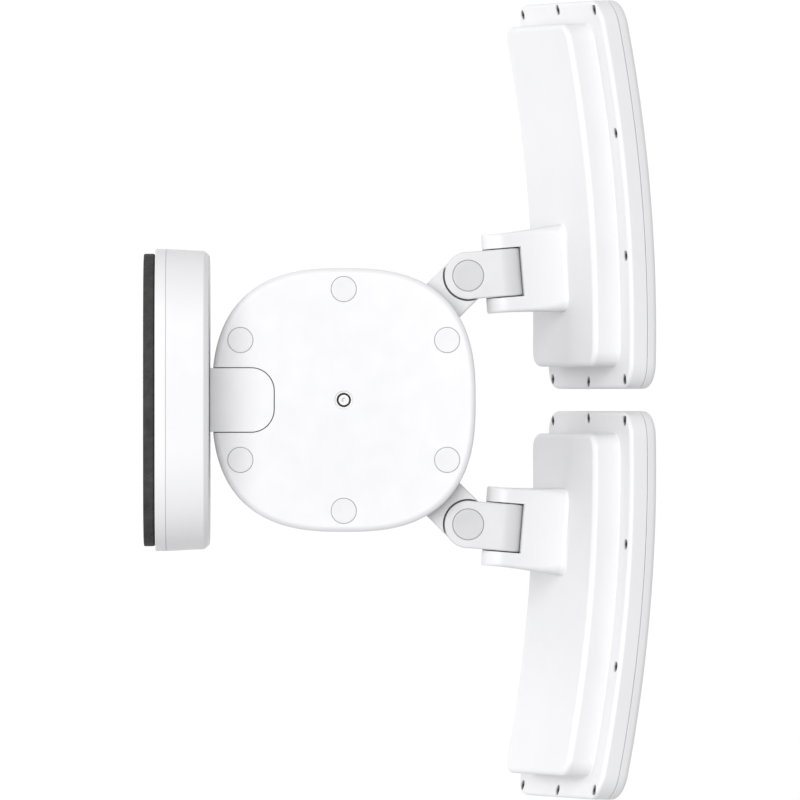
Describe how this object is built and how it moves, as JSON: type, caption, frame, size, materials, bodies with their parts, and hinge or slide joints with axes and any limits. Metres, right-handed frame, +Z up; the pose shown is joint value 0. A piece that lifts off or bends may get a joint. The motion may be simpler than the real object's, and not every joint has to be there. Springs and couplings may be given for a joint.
{
  "type": "floodlight security camera",
  "caption": "Wall-mounted floodlight camera: squircle hub on a wall plate, curved lamp heads on swivelling forked arms, and a pan and tilt camera under the hub.",
  "frame": {"origin": "middle of the gasket's back face, on the wall", "axes": "+Y into the wall, -Y out towards the viewer, +X to the right seen from in front, +Z up"},
  "size_m": [0.331, 0.212, 0.1396],
  "materials": {
    "white_plastic": "fine satin white",
    "foam": "black closed-cell foam",
    "rubber": "matt black",
    "black_plastic": "satin black",
    "circuit": "green solder mask",
    "steel": "plain steel",
    "aluminium": "plain aluminium",
    "diffuser": "milky white diffuser",
    "dark_glass": "gloss black window"
  },
  "bodies": {
    "wall_mount": {"wall_gasket": "foam", "base_plate": "white_plastic", "plate_screw_left": "steel", "plate_screw_right": "steel", "plate_cover": "white_plastic", "terminal_block": "black_plastic", "power_board": "circuit", "support_arm": "white_plastic", "hub_top_cover": "white_plastic", "hub_lower_shell": "white_plastic", "hub_seal": "rubber", "screw_plug_1": "white_plastic", "screw_plug_2": "white_plastic", "screw_plug_3": "white_plastic", "screw_plug_4": "white_plastic", "screw_plug_5": "white_plastic", "screw_plug_6": "white_plastic", "centre_screw": "steel", "main_board": "circuit", "pan_motor": "aluminium", "speaker": "black_plastic", "light_arm_left": "white_plastic", "light_arm_right": "white_plastic"},
    "knuckle_left_body": {"knuckle_left": "white_plastic", "yaw_pin_left": "steel", "pin_cap_left": "white_plastic"},
    "knuckle_right_body": {"knuckle_right": "white_plastic", "yaw_pin_right": "steel", "pin_cap_right": "white_plastic"},
    "lamp_left": {"rear_case_left": "white_plastic", "case_seal_left": "rubber", "front_bezel_left": "white_plastic", "diffuser_left": "diffuser", "led_board_left": "aluminium", "pitch_pin_left": "steel"},
    "lamp_right": {"rear_case_right": "white_plastic", "case_seal_right": "rubber", "front_bezel_right": "white_plastic", "diffuser_right": "diffuser", "led_board_right": "aluminium", "pitch_pin_right": "steel"},
    "camera_pan": {"pan_yoke": "white_plastic", "pan_shaft": "steel", "yoke_cover_left": "white_plastic", "yoke_cover_right": "white_plastic", "tilt_motor": "aluminium"},
    "camera_tilt": {"camera_front_shell": "white_plastic", "camera_rear_shell": "white_plastic", "tilt_pin_left": "steel", "tilt_pin_right": "steel", "front_glass": "dark_glass", "wide_lens": "black_plastic", "tele_lens": "black_plastic", "camera_board": "circuit"},
    "button": {"sync_button": "rubber"}
  },
  "joints": [
    {"name": "yaw_left", "type": "hinge", "parent": "wall_mount", "child": "knuckle_left_body", "pos_m": [-0.05155, -0.13425, 0], "axis": [0, 0, 1], "range_deg": [-60, 2.5]},
    {"name": "yaw_right", "type": "hinge", "parent": "wall_mount", "child": "knuckle_right_body", "pos_m": [0.05155, -0.13425, 0], "axis": [0, 0, 1], "range_deg": [-2.5, 60]},
    {"name": "pitch_left", "type": "hinge", "parent": "knuckle_left_body", "child": "lamp_left", "pos_m": [-0.0527, -0.1482, -0.0022], "axis": [0.9966, -0.0819, 0], "range_deg": [-35, 25]},
    {"name": "pitch_right", "type": "hinge", "parent": "knuckle_right_body", "child": "lamp_right", "pos_m": [0.0527, -0.1482, -0.0022], "axis": [0.9966, 0.0819, 0], "range_deg": [-35, 25]},
    {"name": "camera_pan_joint", "type": "hinge", "parent": "wall_mount", "child": "camera_pan", "pos_m": [0, -0.0827, -0.0205], "axis": [0, 0, 1], "range_deg": [-170, 170]},
    {"name": "camera_tilt_joint", "type": "hinge", "parent": "camera_pan", "child": "camera_tilt", "pos_m": [0, -0.0827, -0.052], "axis": [1, 0, 0], "range_deg": [-20, 70]},
    {"name": "sync_button_press", "type": "slide", "parent": "wall_mount", "child": "button", "axis": [0, 0, 1], "range_m": [0, 0.0006], "stiffness_N_per_m": 600, "springref_m": -0.0003}
  ]
}
